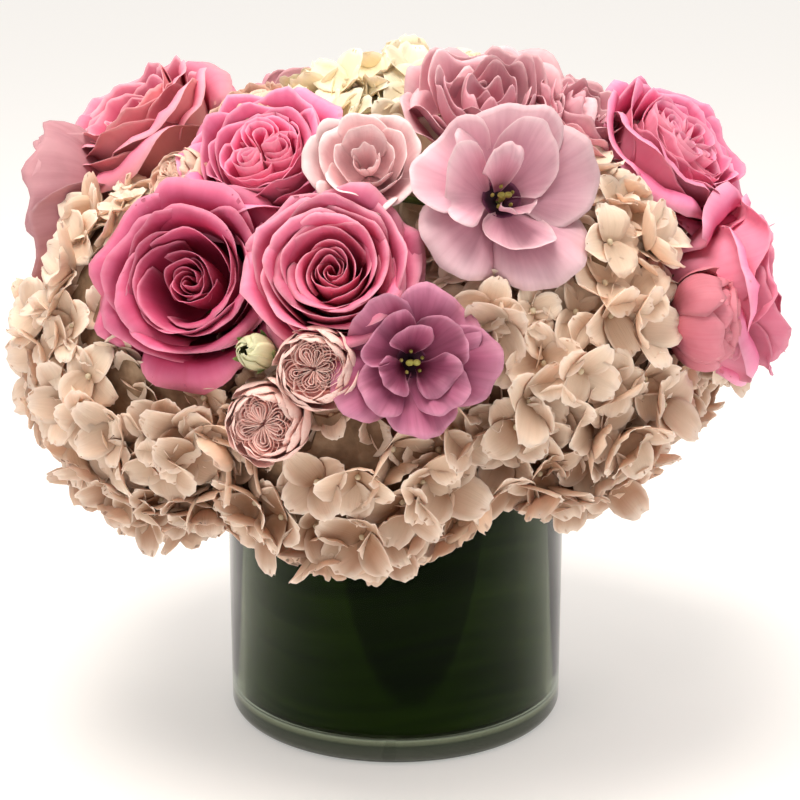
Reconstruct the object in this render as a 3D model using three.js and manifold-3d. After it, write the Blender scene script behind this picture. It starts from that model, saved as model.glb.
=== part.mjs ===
// A low, round arrangement of roses, lisianthus, spray roses and hydrangea in a glass cylinder vase
// that is lined with broad leaves. Millimetres, +Z up, origin at the centre of the vase's underside,
// front towards -Y.
import * as THREE from 'three';
import { mergeVertices } from 'three/addons/utils/BufferGeometryUtils.js';
import Module from 'manifold-3d';

// Glass cylinder vase.
const vaseDiameter = 152;
const vaseHeight = 152;
const glassWall = 4;
const glassFloor = 10;
const footRound = 5; // outer edge of the underside
const floorRound = 3; // inner edge of the floor
const rimRound = 1.5;

// Broad leaves that line the glass.
const leafThickness = 0.8;
const leafHeight = 132;
const leafGap = 0.5; // between the glass and the outer leaf, and between the two leaves
const leafOverlap = 25; // degrees that the leaves overlap at each end

// Dome of flowers: how far its widest line stands above the rim and out past the glass.
const waistAboveRim = 23;
const overhangSide = 94;
const overhangFront = 86;
const domeRise = 128;
const domeDrop = 85;

// Stem diameters.
const roseStem = 6;
const hydrangeaStem = 7;
const lisianthusStem = 4;
const sprayStem = 3.6;
const branchStem = 2.6;

// How tall each kind of bloom is for its width, from the stem's end to the middle of its face.
const roseTallness = 0.74;
const lisianthusTallness = 0.5;
const sprayTallness = 0.72;
const budTallness = 1.3;
const hydrangeaTallness = 0.6;
const hydrangeaWaist = 0.42; // share of the head's height below its widest line

const outerRingInset = 10; // stem ring of the low flowers, in from the liner
const innerRingInset = 34; // stem ring of the high flowers, in from the liner
// A stem is nearer the middle at its neck, where it turns to its bloom, than at its foot: by this less a
// rose stem, because thicker stems have to lean in less to stay apart.
const neckLean = 15;
const neckBelowRim = 12; // and how far below the rim
const straightFoot = 36; // length that rises straight from the floor
const straightCrown = 20; // length that points straight at the bloom
const highFlower = 28; // flowers that look up more steeply than this, in degrees, use the inner ring
const forkDepth = 34; // how far below its blooms a spray divides
const seatGap = 0.3; // between a bloom and its stem, and between a stem and the vase's floor
const nestGap = 0.6; // between a bloom and the hollow it makes in its neighbour

const colours = {
  glass: 0x56624a, leaf: 0x1f3313, stem: 0x4c6b33, rose: 0xd65a8c, lisianthus: 0xc97aa3,
  sprayRose: 0xe9aeb4, bud: 0xc8c79a, hydrangea: 0xecd5c4,
};

// Every flower: its width, where its face lies on the dome and which way it looks, as
// [azimuth from the front towards +X, elevation] in degrees, and how far out from the dome it stands
// where it isn't on it. The first in the list keep their shape, and the later ones give way to them.
const roses = [
  { name: 'rose_front_left', width: 76, at: [-34, 20], looks: [-18, 24] },
  { name: 'rose_front_centre', width: 67, at: [-10, 24], looks: [-4, 31] },
  { name: 'rose_top_left', width: 73, at: [-33, 45], looks: [-22, 52] },
  { name: 'rose_far_left', width: 76, at: [-84, 42], out: 14, looks: [-68, 55] },
  { name: 'rose_top_right', width: 74, at: [70, 36], out: 14, looks: [59, 44] },
  { name: 'rose_far_right', width: 78, at: [68, 12], out: 10, looks: [84, 10] },
  { name: 'rose_back_left', width: 74, at: [-132, 28], looks: [-132, 32] },
  { name: 'rose_back_right', width: 74, at: [130, 30], looks: [130, 34] },
];
const lisianthusStems = [
  { name: 'lisianthus_front', blooms: [{ width: 64, at: [3, 10], looks: [7, 13] }] },
  { name: 'lisianthus_right', blooms: [{ width: 74, at: [20, 34], out: 8, looks: [12, 26] }] },
  {
    name: 'lisianthus_top',
    blooms: [
      { width: 74, at: [36, 60], looks: [10, 62] },
      { width: 54, at: [62, 49], looks: [60, 52] },
      { width: 45, at: [-6, 42], looks: [-4, 38] },
    ],
  },
  { name: 'lisianthus_far_left', blooms: [{ width: 70, at: [-84, 22], looks: [-96, -6] }] },
  {
    name: 'lisianthus_back',
    blooms: [
      { width: 74, at: [176, 34], looks: [176, 40] },
      { width: 52, at: [-150, 41], looks: [-150, 52] },
    ],
  },
];
const sprays = [
  {
    name: 'spray_front',
    blooms: [
      { width: 33, at: [-18, 1], looks: [-14, 6] },
      { width: 33, at: [-11, 9], looks: [-8, 14] },
      { width: 17, at: [-21, 11], looks: [-25, 20], bud: true },
    ],
  },
  { name: 'spray_right', blooms: [{ width: 42, at: [55, 10], out: 5, looks: [88, 2] }] },
  {
    name: 'spray_left',
    blooms: [
      { width: 44, at: [-51, 57], looks: [-44, 76] },
      { width: 34, at: [-50, 35], looks: [-52, 30] },
    ],
  },
  {
    name: 'spray_back',
    blooms: [
      { width: 42, at: [92, 43], out: 2, looks: [80, 64] },
      { width: 38, at: [148, 46], looks: [148, 50] },
    ],
  },
];
const hydrangeas = [
  { name: 'hydrangea_front', width: 120, at: [-9, -12], looks: [-7, -19] },
  { name: 'hydrangea_right', width: 150, at: [37, 12], out: -3, looks: [36, 12] },
  { name: 'hydrangea_left', width: 162, at: [-58, 5], out: 2, looks: [-58, 5] },
  { name: 'hydrangea_back_right', width: 142, at: [114, 6], looks: [114, 8] },
  { name: 'hydrangea_back_left', width: 156, at: [-124, 4], looks: [-124, 6] },
  { name: 'hydrangea_back', width: 156, at: [166, 8], looks: [166, 12] },
  { name: 'hydrangea_top', width: 142, at: [-178, 84], out: -7, looks: [-170, 86] },
];

const wasm = await Module();
wasm.setup();

const vaseRadius = vaseDiameter / 2;
const innerRadius = vaseRadius - glassWall;
const linerRadius = innerRadius - 2 * (leafGap + leafThickness);
const domeCentre = new THREE.Vector3(0, 0, vaseHeight + waistAboveRim);
const domeHalfWidth = vaseRadius + overhangSide;
const domeHalfDepth = vaseRadius + overhangFront;
const part = new THREE.Group();

function direction([azimuth, elevation]) {
  const a = THREE.MathUtils.degToRad(azimuth);
  const e = THREE.MathUtils.degToRad(elevation);
  return new THREE.Vector3(Math.sin(a) * Math.cos(e), -Math.cos(a) * Math.cos(e), Math.sin(e));
}

function domePoint(at) {
  const way = direction(at);
  const height = way.z < 0 ? domeDrop : domeRise;
  const reach = 1 / Math.hypot(way.x / domeHalfWidth, way.y / domeHalfDepth, way.z / height);
  return way.multiplyScalar(reach).add(domeCentre);
}

// A closed three.js geometry as a solid that can be joined and cut.
function solidOf(geometry) {
  const bare = geometry.clone();
  bare.deleteAttribute('normal');
  bare.deleteAttribute('uv');
  const merged = mergeVertices(bare);
  const index = merged.index.array;
  const corners = [];
  for (let i = 0; i < index.length; i += 3) {
    const [a, b, c] = [index[i], index[i + 1], index[i + 2]];
    if (a !== b && b !== c && c !== a) corners.push(a, b, c);
  }
  return new wasm.Manifold(new wasm.Mesh({
    numProp: 3,
    vertProperties: new Float32Array(merged.attributes.position.array),
    triVerts: new Uint32Array(corners),
  }));
}

function geometryOf(solid) {
  const mesh = solid.getMesh();
  const geometry = new THREE.BufferGeometry();
  geometry.setAttribute('position', new THREE.BufferAttribute(mesh.vertProperties, 3));
  geometry.setIndex(new THREE.BufferAttribute(mesh.triVerts, 1));
  return geometry;
}

function addPiece(name, geometry, color, roughness) {
  const mesh = new THREE.Mesh(geometry, new THREE.MeshStandardMaterial({ color, roughness, metalness: 0 }));
  mesh.name = name;
  part.add(mesh);
}

// A turned shape about +Z from [radius, height] points.
function turned(profile, segments) {
  const points = profile.map(([radius, height]) => new THREE.Vector2(radius, height));
  return new THREE.LatheGeometry(points, segments).rotateX(Math.PI / 2);
}

// Quarter-round points about a centre, from one angle to another in degrees.
function roundEdge(centreRadius, centreHeight, radius, from, to, steps) {
  return Array.from({ length: steps + 1 }, (_, i) => {
    const angle = THREE.MathUtils.degToRad(from + ((to - from) * i) / steps);
    return [centreRadius + radius * Math.cos(angle), centreHeight + radius * Math.sin(angle)];
  });
}

function makeVase() {
  const profile = [
    [0, 0],
    ...roundEdge(vaseRadius - footRound, footRound, footRound, -90, 0, 2),
    ...roundEdge(vaseRadius - rimRound, vaseHeight - rimRound, rimRound, 0, 90, 2),
    ...roundEdge(innerRadius + rimRound, vaseHeight - rimRound, rimRound, 90, 180, 2),
    ...roundEdge(innerRadius - floorRound, glassFloor + floorRound, floorRound, 0, -90, 2),
    [0, glassFloor],
  ];
  addPiece('vase', turned(profile, 40), colours.glass, 0.1);
}

// A leaf stands on the floor's rounded edge and bends round the inside of the glass.
function makeLeaf(name, outerRadius, from, to) {
  const start = THREE.MathUtils.degToRad(from);
  const end = THREE.MathUtils.degToRad(to);
  const outline = new THREE.Shape();
  outline.absarc(0, 0, outerRadius, start, end, false);
  outline.absarc(0, 0, outerRadius - leafThickness, end, start, true);
  const curveSegments = 15;
  const leaf = new THREE.ExtrudeGeometry(outline, { depth: leafHeight, bevelEnabled: false, curveSegments });
  leaf.translate(0, 0, glassFloor + floorRound + seatGap);
  addPiece(name, leaf, colours.leaf, 0.5);
}

const tubeSides = 6;

// A tube that is swept along a path.
function tube(path, diameter, steps) {
  const section = new THREE.Shape().absarc(0, 0, diameter / 2, 0, 2 * Math.PI, false);
  const curveSegments = tubeSides / 2;
  return new THREE.ExtrudeGeometry(section, { extrudePath: path, steps, bevelEnabled: false, curveSegments });
}

// Rounded lobes on a turned shape: more towards its widest part.
function addLobes(geometry, count, depth, height, turn) {
  const position = geometry.attributes.position;
  for (let i = 0; i < position.count; i++) {
    const [x, y, z] = [position.getX(i), position.getY(i), position.getZ(i)];
    const share = THREE.MathUtils.clamp(z / height, 0, 1);
    const factor = 1 + depth * share * Math.cos(count * Math.atan2(y, x) + turn * share);
    position.setXYZ(i, x * factor, y * factor, z);
  }
  return geometry;
}

// Turned outlines of the blooms, in shares of half their width and of their height.
const outlines = {
  rose: [[0, 0], [0.12, 0], [0.5, 0.24], [0.8, 0.5], [0.96, 0.74], [0.7, 0.86], [0.6, 0.97], [0.28, 1],
    [0.2, 0.93], [0, 0.9]],
  lisianthus: [[0, 0], [0.07, 0], [0.14, 0.2], [0.5, 0.54], [0.94, 0.94], [0.9, 1], [0.5, 0.76], [0.1, 0.7],
    [0, 0.78]],
  spray: [[0, 0], [0.16, 0], [0.34, 0.14], [0.72, 0.4], [0.94, 0.72], [0.84, 0.92], [0.4, 1], [0, 0.96]],
  bud: [[0, 0], [0.2, 0], [0.62, 0.18], [0.9, 0.45], [0.72, 0.78], [0.3, 0.97], [0, 1]],
};
const lobes = {
  rose: [5, 0.05, 2], lisianthus: [6, 0.08, 0], spray: [5, 0.03, 0], bud: [5, 0.02, 0],
};
// A plain shape that a bloom stays inside, for the hollow it makes in its neighbours.
const nests = {
  rose: [[0, 0], [0.16, 0], [0.56, 0.22], [1.04, 0.6], [1.04, 0.86], [0.72, 1], [0, 1]],
  lisianthus: [[0, 0], [0.1, 0], [0.38, 0.38], [1.06, 0.88], [1.06, 1], [0, 1]],
  spray: [[0, 0], [0.2, 0], [0.76, 0.36], [1, 0.74], [0.9, 0.94], [0.44, 1], [0, 1]],
  bud: [[0, 0], [0.24, 0], [0.94, 0.4], [0.8, 0.8], [0.34, 1], [0, 1]],
};
const nestSides = 9;
const stemSteps = 7;
const branchRoot = 4; // how far a branch starts inside the main stem
const branchSteps = 4;

function bloomGeometry(kind, width, height) {
  const profile = outlines[kind].map(([r, z]) => [(r * width) / 2, z * height]);
  const sides = kind === 'rose' || kind === 'lisianthus' ? 12 : 8;
  return addLobes(turned(profile, sides), lobes[kind][0], lobes[kind][1], height, lobes[kind][2]);
}

function nestGeometry(kind, width, height) {
  const stretch = 1 / Math.cos(Math.PI / nestSides);
  const profile = nests[kind].map(([r, z], i) => [
    r === 0 ? 0 : ((r * width) / 2) * stretch + nestGap,
    z === 0 ? -nestGap : z * height + nestGap * (i > 2 ? 1 : 0),
  ]);
  return turned(profile, nestSides);
}

// A mop of florets: a ball that is flatter towards its stem, with a lumpy face.
function hydrangeaGeometry(width, height, grow) {
  const geometry = new THREE.IcosahedronGeometry(1, 3);
  const position = geometry.attributes.position;
  const back = height * hydrangeaWaist;
  const point = new THREE.Vector3();
  for (let i = 0; i < position.count; i++) {
    point.fromBufferAttribute(position, i);
    const face = THREE.MathUtils.smoothstep(point.z, -0.5, 0.3);
    const lump = Math.sin(7 * point.x + 1) * Math.sin(7 * point.y + 2) + 0.6 * Math.sin(8 * point.z);
    const swell = 1 + 0.03 * face * lump;
    const depth = point.z > 0 ? height - back : back;
    point.set((point.x * swell * width) / 2, (point.y * swell * width) / 2, point.z * swell * depth);
    point.addScaledVector(point.clone().normalize(), grow);
    position.setXYZ(i, point.x, point.y, point.z + back);
  }
  return geometry;
}

// Turns and moves a shape that stands on +Z so that it stands on a base point and looks along a way.
function place(geometry, base, way) {
  const turn = new THREE.Quaternion().setFromUnitVectors(new THREE.Vector3(0, 0, 1), way);
  return geometry.applyQuaternion(turn).translate(base.x, base.y, base.z);
}

const tallness = {
  rose: roseTallness, lisianthus: lisianthusTallness, spray: sprayTallness, bud: budTallness,
  hydrangea: hydrangeaTallness,
};

// A bloom's base, way and height follow from its place on the dome.
function settle(kind, flower) {
  const height = flower.width * tallness[kind];
  const way = direction(flower.looks);
  const out = domePoint(flower.at).sub(domeCentre);
  const face = domePoint(flower.at).addScaledVector(out.normalize(), flower.out ?? 0);
  const base = face.addScaledVector(way, -height);
  return { ...flower, kind, height, way, base };
}

function bloomNode(plant, flower, i) {
  if (flower.bud) return `${plant.name}_bud`;
  return plant.blooms.length === 1 ? `${plant.name}_bloom` : `${plant.name}_bloom_${i + 1}`;
}

// One plant for each stem: its name, its stem's diameter and its blooms.
const plants = [
  ...roses.map((flower) => ({
    name: flower.name, stem: roseStem, blooms: [{ ...settle('rose', flower), node: `${flower.name}_bloom` }],
  })),
  ...[[lisianthusStems, 'lisianthus', lisianthusStem], [sprays, 'spray', sprayStem]].flatMap(
    ([list, kind, stem]) => list.map((plant) => ({
      name: plant.name,
      stem,
      blooms: plant.blooms.map((flower, i) => ({
        ...settle(flower.bud ? 'bud' : kind, flower),
        node: bloomNode(plant, flower, i),
      })),
    })),
  ),
  ...hydrangeas.map((flower) => ({
    name: flower.name,
    stem: hydrangeaStem,
    blooms: [{ ...settle('hydrangea', flower), node: `${flower.name}_head` }],
  })),
];

// Where a plant's stem ends or divides, and the way it points there.
function crownOf(plant) {
  if (plant.blooms.length === 1) {
    const [bloom] = plant.blooms;
    return { point: bloom.base.clone().addScaledVector(bloom.way, -seatGap), way: bloom.way.clone() };
  }
  const point = new THREE.Vector3();
  const way = new THREE.Vector3();
  const share = 1 / plant.blooms.length;
  for (const bloom of plant.blooms) {
    point.addScaledVector(bloom.base, share).addScaledVector(bloom.way, -forkDepth * share);
    way.add(bloom.way);
  }
  return { point, way: way.normalize() };
}

// Cut ends stand on the floor in two rings, in the order of their flowers round the dome.
function standInRing(ring, radius) {
  const turn = (plant) => Math.atan2(plant.crown.point.x, -plant.crown.point.y);
  ring.sort((a, b) => turn(a) - turn(b));
  const step = (2 * Math.PI) / ring.length;
  const offset = ring.reduce((sum, plant, i) => sum + turn(plant) - i * step, 0) / ring.length;
  ring.forEach((plant, i) => {
    const angle = offset + i * step;
    plant.foot = new THREE.Vector3(radius * Math.sin(angle), -radius * Math.cos(angle), glassFloor + seatGap);
    plant.neckRadius = radius - (neckLean - roseStem);
  });
}

for (const plant of plants) plant.crown = crownOf(plant);
const isHigh = (plant) => plant.crown.way.z > Math.sin(THREE.MathUtils.degToRad(highFlower));
standInRing(plants.filter((plant) => !isHigh(plant)), linerRadius - outerRingInset);
standInRing(plants.filter(isHigh), linerRadius - innerRingInset);

// The middle line of a plant's main stem, which may run on past its end.
function stemPath(plant, past) {
  const { foot, crown, neckRadius } = plant;
  const neck = new THREE.Vector3(crown.point.x, crown.point.y, 0).setLength(neckRadius);
  return new THREE.CatmullRomCurve3([
    foot,
    foot.clone().setZ(foot.z + straightFoot),
    neck.setZ(vaseHeight - neckBelowRim),
    crown.point.clone().addScaledVector(crown.way, -straightCrown),
    crown.point.clone().addScaledVector(crown.way, past),
  ]);
}

// The middle line of a side stem, from inside the main stem's end to its bloom.
function branchPath(crown, bloom, past) {
  const start = crown.point.clone().addScaledVector(crown.way, -branchRoot);
  const end = bloom.base.clone().addScaledVector(bloom.way, past - seatGap);
  const reach = start.distanceTo(end) / 3;
  return new THREE.CubicBezierCurve3(
    start,
    start.clone().addScaledVector(crown.way, reach),
    end.clone().addScaledVector(bloom.way, -reach),
    end,
  );
}

// A plant's stem and its branches in one solid, or the room that they take, with a margin all round.
function stemSolid(plant, margin) {
  let solid = solidOf(tube(stemPath(plant, margin), plant.stem + 2 * margin, stemSteps));
  if (plant.blooms.length > 1) {
    for (const bloom of plant.blooms) {
      const branch = tube(branchPath(plant.crown, bloom, margin), branchStem + 2 * margin, branchSteps);
      solid = solid.add(solidOf(branch));
    }
  }
  return solid;
}

makeVase();
const leafSpan = 180 + leafOverlap;
const outerLeafRadius = innerRadius - leafGap;
makeLeaf('liner_leaf_outer', outerLeafRadius, -90 - leafSpan / 2, -90 + leafSpan / 2);
makeLeaf('liner_leaf_inner', outerLeafRadius - leafThickness - leafGap, 90 - leafSpan / 2, 90 + leafSpan / 2);

const hollowSides = 24;
const hollowRadius = vaseRadius / Math.cos(Math.PI / hollowSides) + nestGap;
const hollowHeight = vaseHeight + nestGap;
const vaseHollow = solidOf(turned(
  [[0, 0], [hollowRadius, 0], [hollowRadius, hollowHeight], [0, hollowHeight]],
  hollowSides,
));
const stemRooms = [];
for (const plant of plants) {
  addPiece(`${plant.name}_stem`, geometryOf(stemSolid(plant, 0)), colours.stem, 0.6);
  stemRooms.push(stemSolid(plant, nestGap));
}
const finishes = {
  rose: colours.rose, lisianthus: colours.lisianthus, spray: colours.sprayRose, bud: colours.bud,
  hydrangea: colours.hydrangea,
};
const taken = [vaseHollow, ...stemRooms];
for (const bloom of plants.flatMap((plant) => plant.blooms)) {
  const { kind, width, height, base, way } = bloom;
  const isMop = kind === 'hydrangea';
  const shape = isMop ? hydrangeaGeometry(width, height, 0) : bloomGeometry(kind, width, height);
  const nest = isMop ? hydrangeaGeometry(width, height, nestGap) : nestGeometry(kind, width, height);
  let solid = solidOf(place(shape, base, way));
  for (const hollow of taken) solid = solid.subtract(hollow);
  const [largest] = solid.decompose().sort((a, b) => b.volume() - a.volume());
  addPiece(bloom.node, geometryOf(largest), finishes[kind], 0.8);
  taken.push(solidOf(place(nest, base, way)));
}

export default part;
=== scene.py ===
import math
import random

import bmesh
import bpy
import numpy as np
from mathutils import Matrix, Vector
from mathutils.bvhtree import BVHTree


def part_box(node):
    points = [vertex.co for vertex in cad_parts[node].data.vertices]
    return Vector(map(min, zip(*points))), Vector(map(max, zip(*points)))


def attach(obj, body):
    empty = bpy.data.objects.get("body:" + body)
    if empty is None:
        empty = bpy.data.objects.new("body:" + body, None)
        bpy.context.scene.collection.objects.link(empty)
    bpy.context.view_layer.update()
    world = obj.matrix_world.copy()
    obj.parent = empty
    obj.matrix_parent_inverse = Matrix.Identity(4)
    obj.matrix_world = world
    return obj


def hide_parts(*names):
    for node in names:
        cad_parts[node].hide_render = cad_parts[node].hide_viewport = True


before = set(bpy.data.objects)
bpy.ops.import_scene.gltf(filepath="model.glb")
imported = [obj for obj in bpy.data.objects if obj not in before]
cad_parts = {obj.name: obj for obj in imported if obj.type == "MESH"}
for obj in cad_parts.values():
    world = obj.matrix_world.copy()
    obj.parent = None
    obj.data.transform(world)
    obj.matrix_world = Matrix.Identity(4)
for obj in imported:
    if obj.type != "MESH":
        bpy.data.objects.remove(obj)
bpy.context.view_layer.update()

# Camera, soft studio light and pale floor.
# A long lens looks slightly down at the front of the arrangement. One big warm panel hangs above it,
# two weaker ones stand in front, and an even pale surround fills the shadows.


def add_thing(name, data):
    """A new object in the scene."""
    thing = bpy.data.objects.new(name, data)
    bpy.context.scene.collection.objects.link(thing)
    return thing


camera_data = bpy.data.cameras.new("camera")
camera_data.sensor_width = 36.0
camera_data.lens = 95.3
camera = add_thing("camera", camera_data)
camera.location = (0.002, -0.9135, 0.407)
camera_tilt = 16.1
camera.rotation_euler = (math.radians(90 - camera_tilt), 0, 0)
bpy.context.scene.camera = camera
bpy.context.scene.view_settings.view_transform = "Standard"


def add_panel(name, place, aim, size, power, colour):
    """A square soft lamp that faces a spot."""
    lamp = bpy.data.lights.new(name, "AREA")
    lamp.shape = "SQUARE"
    lamp.size = size
    lamp.energy = power
    lamp.color = colour
    panel = add_thing(name, lamp)
    panel.location = place
    panel.rotation_euler = (Vector(aim) - Vector(place)).to_track_quat("-Z", "Y").to_euler()


add_panel("overhead_panel", (-0.15, -0.25, 1.35), (0, 0, 0.2), 0.7, 15, (1.0, 0.93, 0.84))
add_panel("front_left_panel", (-1.3, -1.3, 0.9), (0, 0, 0.18), 1.0, 6, (1.0, 0.95, 0.9))
add_panel("right_panel", (1.5, -0.6, 0.8), (0, 0, 0.15), 0.9, 5, (1.0, 0.96, 0.92))


def set_inputs(node, **values):
    """Sets a node's inputs by name, with an underscore for each space."""
    for name, value in values.items():
        node.inputs[name.replace("_", " ")].default_value = value


# The surround is dimmer in front, so that the glass has little to reflect.
world = bpy.data.worlds.new("surround")
world.use_nodes = True
air, air_links = world.node_tree.nodes, world.node_tree.links
set_inputs(air["Background"], Strength=0.95)
ahead = air.new("ShaderNodeTexCoord")
split = air.new("ShaderNodeSeparateXYZ")
dimmer_in_front = air.new("ShaderNodeMapRange")
set_inputs(dimmer_in_front, From_Min=-0.75, From_Max=0.1)
room_tone = air.new("ShaderNodeMix")
room_tone.data_type = "RGBA"
room_tone.inputs[6].default_value = (0.30, 0.27, 0.24, 1)
room_tone.inputs[7].default_value = (0.98, 0.95, 0.91, 1)
air_links.new(ahead.outputs["Generated"], split.inputs[0])
air_links.new(split.outputs["Y"], dimmer_in_front.inputs["Value"])
air_links.new(dimmer_in_front.outputs["Result"], room_tone.inputs[0])
air_links.new(room_tone.outputs[2], air["Background"].inputs["Color"])
bpy.context.scene.world = world

floor_mesh = bpy.data.meshes.new("floor")
reach = 40.0
floor_corners = [(-reach, -reach, 0), (reach, -reach, 0), (reach, reach, 0), (-reach, reach, 0)]
floor_mesh.from_pydata(floor_corners, [], [(0, 1, 2, 3)])
floor = add_thing("floor", floor_mesh)


def new_material(name):
    """A material's tree, its surface shader and its link call."""
    material = bpy.data.materials.new(name)
    material.use_nodes = True
    tree = material.node_tree
    return material, tree.nodes, tree.links, tree.nodes["Principled BSDF"]


floor_paint, nodes, links, shader = new_material("floor_paint")
set_inputs(shader, Base_Color=(0.80, 0.79, 0.78, 1), Roughness=0.8)
set_inputs(shader, Emission_Color=(1.0, 0.99, 0.97, 1), Emission_Strength=0.30)
floor_mesh.materials.append(floor_paint)

# Glass cylinder vase.
# Clear pressed glass with a thick flat base, rounded where it meets the table and fire-polished at
# the rim. It holds everything else and is fixed to nothing.


def add_object(name, points, faces, material):
    """A smooth-shaded mesh object in the scene."""
    mesh = bpy.data.meshes.new(name)
    mesh.from_pydata(points, [], faces)
    mesh.polygons.foreach_set("use_smooth", [True] * len(mesh.polygons))
    mesh.materials.append(material)
    return add_thing(name, mesh)


def finish_piece(piece, slot, *nodes_replaced):
    """Rides a piece on the one body and hides the CAD nodes that it stands for. Its slot is not used."""
    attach(piece, "root")
    if nodes_replaced:
        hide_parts(*nodes_replaced)


def lathe(profile, sides):
    """A closed turned shape from [radius, height] points that start and end on the axis."""
    points = [(0, 0, profile[0][1])]
    for radius, height in profile[1:-1]:
        for k in range(sides):
            turn = 2 * math.pi * k / sides
            points.append((radius * math.cos(turn), radius * math.sin(turn), height))
    points.append((0, 0, profile[-1][1]))
    faces = [(0, 1 + (k + 1) % sides, 1 + k) for k in range(sides)]
    rings = len(profile) - 2
    for i in range(rings - 1):
        low = 1 + i * sides
        for k in range(sides):
            after = (k + 1) % sides
            faces.append((low + k, low + after, low + sides + after, low + sides + k))
    last = 1 + (rings - 1) * sides
    faces += [(last + k, last + (k + 1) % sides, len(points) - 1) for k in range(sides)]
    return points, faces


def quarter(centre_radius, centre_height, radius, start, end, steps):
    """Points of a rounded edge in the turned outline, between two angles in degrees."""
    out = []
    for i in range(steps + 1):
        turn = math.radians(start + (end - start) * i / steps)
        out.append((centre_radius + radius * math.cos(turn), centre_height + radius * math.sin(turn)))
    return out


def add_relief(nodes, links, height, shader, strength, distance):
    """A bump node between a height and a shader's normal."""
    relief = nodes.new("ShaderNodeBump")
    set_inputs(relief, Strength=strength, Distance=distance)
    links.new(height, relief.inputs["Height"])
    links.new(relief.outputs["Normal"], shader.inputs["Normal"])


vase_low, vase_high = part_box("vase")
vase_radius = (vase_high.x - vase_low.x) / 2
vase_height = vase_high.z
glass_wall = 0.004
glass_floor = 0.010
foot_round = 0.005
floor_round = 0.003
rim_round = 0.0015
inner_radius = vase_radius - glass_wall
glass_outline = [
    (0, 0),
    *quarter(vase_radius - foot_round, foot_round, foot_round, -90, 0, 8),
    *quarter(vase_radius - rim_round, vase_height - rim_round, rim_round, 0, 90, 6),
    *quarter(inner_radius + rim_round, vase_height - rim_round, rim_round, 90, 180, 6),
    *quarter(inner_radius - floor_round, glass_floor + floor_round, floor_round, 0, -90, 6),
    (0, glass_floor),
]
clear_glass, nodes, links, shader = new_material("clear_glass")
set_inputs(shader, Roughness=0.0, IOR=1.47, Transmission_Weight=1.0, Specular_Tint=(0.05, 0.06, 0.045, 1))
ripple = nodes.new("ShaderNodeTexNoise")
set_inputs(ripple, Scale=9.0, Detail=1.0)
glass_place = nodes.new("ShaderNodeTexCoord")
links.new(glass_place.outputs["Object"], ripple.inputs["Vector"])
height_in_glass = nodes.new("ShaderNodeSeparateXYZ")
links.new(glass_place.outputs["Object"], height_in_glass.inputs[0])
# The glass is painted near black in its foot as painted shade, with a painted light line at the inner
# floor's edge, and is dusky green above.
painted_foot_share = nodes.new("ShaderNodeMapRange")
set_inputs(painted_foot_share, From_Max=glass_floor + floor_round)
links.new(height_in_glass.outputs["Z"], painted_foot_share.inputs["Value"])
tint_and_foot_shade_ramp = nodes.new("ShaderNodeValToRGB")
tint_and_foot_shade_stops = tint_and_foot_shade_ramp.color_ramp.elements
tint_and_foot_shade_stops[0].color = (0.035, 0.034, 0.027, 1)
tint_and_foot_shade_stops[1].color = (0.21, 0.26, 0.155, 1)
# Painted shade in the foot, then a painted light line at the inner floor's edge.
painted_foot_shade_and_line = [(0.30, (0.015, 0.015, 0.01)), (0.70, (0.006, 0.008, 0.004)), (0.84, (0.07, 0.08, 0.035))]
for spot, colour in painted_foot_shade_and_line:
    tint_and_foot_shade_stops.new(spot).color = (*colour, 1)
links.new(painted_foot_share.outputs["Result"], tint_and_foot_shade_ramp.inputs["Fac"])
links.new(tint_and_foot_shade_ramp.outputs["Color"], shader.inputs["Base Color"])
add_relief(nodes, links, ripple.outputs["Fac"], shader, 0.12, 0.002)
clear = nodes.new("ShaderNodeBsdfTransparent")
set_inputs(clear, Color=(0.80, 0.88, 0.80, 1))
ray = nodes.new("ShaderNodeLightPath")
either = nodes.new("ShaderNodeMixShader")
links.new(ray.outputs["Is Shadow Ray"], either.inputs[0])
links.new(shader.outputs[0], either.inputs[1])
links.new(clear.outputs[0], either.inputs[2])
links.new(either.outputs[0], nodes["Material Output"].inputs["Surface"])
glass_sides = 128
glass = add_object("glass_cylinder", *lathe(glass_outline, glass_sides), clear_glass)
finish_piece(glass, "clear_glass", "vase")

# Leaves that line the glass.
# Two broad dark green leaves are bent round the inside of the cylinder and held there by their own
# spring and by the stems. The front one's rounded end shows as a darker tongue against the glass.


def mark_of(nodes, name):
    """The output of a node that reads a named number on the mesh's points."""
    reader = nodes.new("ShaderNodeAttribute")
    reader.attribute_name = name
    return reader.outputs["Fac"]


def sum_of(tree, operation, *values):
    """The result of a maths node, whose inputs are outputs of other nodes or plain numbers."""
    step = tree.nodes.new("ShaderNodeMath")
    step.operation = operation
    for socket, value in zip(step.inputs, values):
        if hasattr(value, "links"):
            tree.links.new(value, socket)
        else:
            socket.default_value = value
    return step.outputs[0]


def new_group(name, sockets):
    """A node group with its input and output nodes. Each socket is a name, a way and a kind."""
    group = bpy.data.node_groups.new(name, "ShaderNodeTree")
    for socket, way, kind in sockets:
        group.interface.new_socket(socket, in_out=way, socket_type="NodeSocket" + kind)
    return group, group.nodes.new("NodeGroupInput"), group.nodes.new("NodeGroupOutput")


def grain_group():
    """Fine fibres and mottling, stretched along a leaf or stem."""
    sockets = [("Place", "INPUT", "Vector")]
    sockets += [(name, "INPUT", "Float") for name in ("Fibre Scale", "Mottle Scale")]
    sockets += [(name, "OUTPUT", "Float") for name in ("Fibre", "Mottle")]
    group, inward, outward = new_group("plant_grain", sockets)
    for part, detail in (("Fibre", 3.0), ("Mottle", 4.0)):
        noise = group.nodes.new("ShaderNodeTexNoise")
        set_inputs(noise, Detail=detail)
        group.links.new(inward.outputs["Place"], noise.inputs["Vector"])
        group.links.new(inward.outputs[part + " Scale"], noise.inputs["Scale"])
        group.links.new(noise.outputs["Fac"], outward.inputs[part])
    return group


plant_grain = grain_group()


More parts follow.
